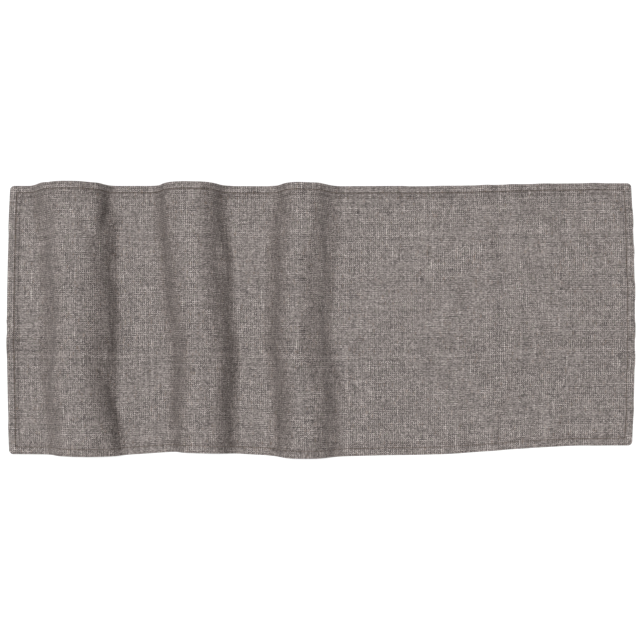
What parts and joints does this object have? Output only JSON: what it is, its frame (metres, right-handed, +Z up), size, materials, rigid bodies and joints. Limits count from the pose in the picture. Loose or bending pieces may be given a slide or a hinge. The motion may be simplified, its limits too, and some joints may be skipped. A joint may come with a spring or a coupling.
{
  "type": "table runner",
  "caption": "Rectangular two-layer cloth table runner with rounded corners and topstitched edges, laid with its left part bunched into waves and its right part flat.",
  "frame": {"origin": "on the table, under the middle of the whole laid runner", "axes": "+X along the runner from its waved end to its flat end, +Y across to its back edge, +Z up from the table"},
  "size_m": [0.8292, 0.3616, 0.0447],
  "materials": {
    "face_cloth": "heathered grey-taupe linen-look plain weave, matte",
    "back_cloth": "the same linen-look plain weave, matte",
    "seam_thread": "spun polyester sewing thread, grey",
    "topstitch_thread": "spun polyester sewing thread, tan",
    "label_tape": "off-white woven satin tape, blank"
  },
  "bodies": {
    "root": {"face_panel": "face_cloth", "back_panel": "back_cloth", "seam_thread": "seam_thread", "topstitch_needle_thread": "topstitch_thread", "topstitch_bobbin_thread": "topstitch_thread", "care_label": "label_tape"}
  },
  "joints": []
}
